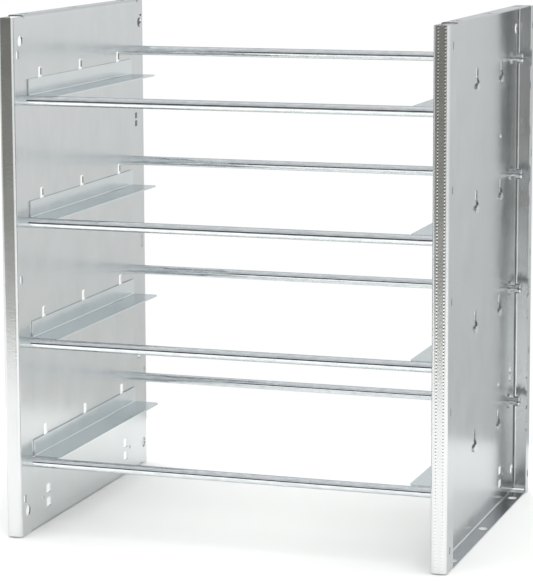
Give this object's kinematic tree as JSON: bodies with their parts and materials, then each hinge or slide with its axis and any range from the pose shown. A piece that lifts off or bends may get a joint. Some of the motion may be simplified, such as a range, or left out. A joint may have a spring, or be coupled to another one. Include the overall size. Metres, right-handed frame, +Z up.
{
  "type": "hanging file rack",
  "caption": "Open rack of two bent galvanised sheet side panels joined by bright round tubes in tiers, front and rear, with hook-on L-shaped ledges inside.",
  "frame": {"origin": "middle of the rack's footprint, on the plane it stands on", "axes": "+X to the rack's right, +Y from front to rear, +Z up"},
  "size_m": [0.658, 0.5, 0.75],
  "materials": {
    "panel_sheet": "galvanised, satin",
    "ledge_sheet": "galvanised, satin",
    "rod_tube": "bright zinc plated",
    "plug_steel": "turned steel",
    "zinc_fastener": "zinc plated"
  },
  "bodies": {
    "frame": {"left_side_panel": "panel_sheet", "right_side_panel": "panel_sheet", "front_rod_1": "rod_tube", "front_rod_2": "rod_tube", "front_rod_3": "rod_tube", "front_rod_4": "rod_tube", "rear_rod_1": "rod_tube", "rear_rod_2": "rod_tube", "rear_rod_3": "rod_tube", "rear_rod_4": "rod_tube", "left_rod_plugs": "plug_steel", "right_rod_plugs": "plug_steel", "left_rod_washers": "zinc_fastener", "right_rod_washers": "zinc_fastener", "left_rod_bolts": "zinc_fastener", "right_rod_bolts": "zinc_fastener"},
    "left_ledge_1_hung": {"left_ledge_1": "ledge_sheet"},
    "left_ledge_2_hung": {"left_ledge_2": "ledge_sheet"},
    "left_ledge_3_hung": {"left_ledge_3": "ledge_sheet"},
    "left_ledge_4_hung": {"left_ledge_4": "ledge_sheet"},
    "right_ledge_1_hung": {"right_ledge_1": "ledge_sheet"},
    "right_ledge_2_hung": {"right_ledge_2": "ledge_sheet"},
    "right_ledge_3_hung": {"right_ledge_3": "ledge_sheet"},
    "right_ledge_4_hung": {"right_ledge_4": "ledge_sheet"}
  },
  "joints": [
    {"name": "left_ledge_1_lift", "type": "slide", "parent": "frame", "child": "left_ledge_1_hung", "axis": [0, 0, 1], "range_m": [0, 0.008]},
    {"name": "left_ledge_2_lift", "type": "slide", "parent": "frame", "child": "left_ledge_2_hung", "axis": [0, 0, 1], "range_m": [0, 0.008]},
    {"name": "left_ledge_3_lift", "type": "slide", "parent": "frame", "child": "left_ledge_3_hung", "axis": [0, 0, 1], "range_m": [0, 0.008]},
    {"name": "left_ledge_4_lift", "type": "slide", "parent": "frame", "child": "left_ledge_4_hung", "axis": [0, 0, 1], "range_m": [0, 0.008]},
    {"name": "right_ledge_1_lift", "type": "slide", "parent": "frame", "child": "right_ledge_1_hung", "axis": [0, 0, 1], "range_m": [0, 0.008]},
    {"name": "right_ledge_2_lift", "type": "slide", "parent": "frame", "child": "right_ledge_2_hung", "axis": [0, 0, 1], "range_m": [0, 0.008]},
    {"name": "right_ledge_3_lift", "type": "slide", "parent": "frame", "child": "right_ledge_3_hung", "axis": [0, 0, 1], "range_m": [0, 0.008]},
    {"name": "right_ledge_4_lift", "type": "slide", "parent": "frame", "child": "right_ledge_4_hung", "axis": [0, 0, 1], "range_m": [0, 0.008]}
  ]
}
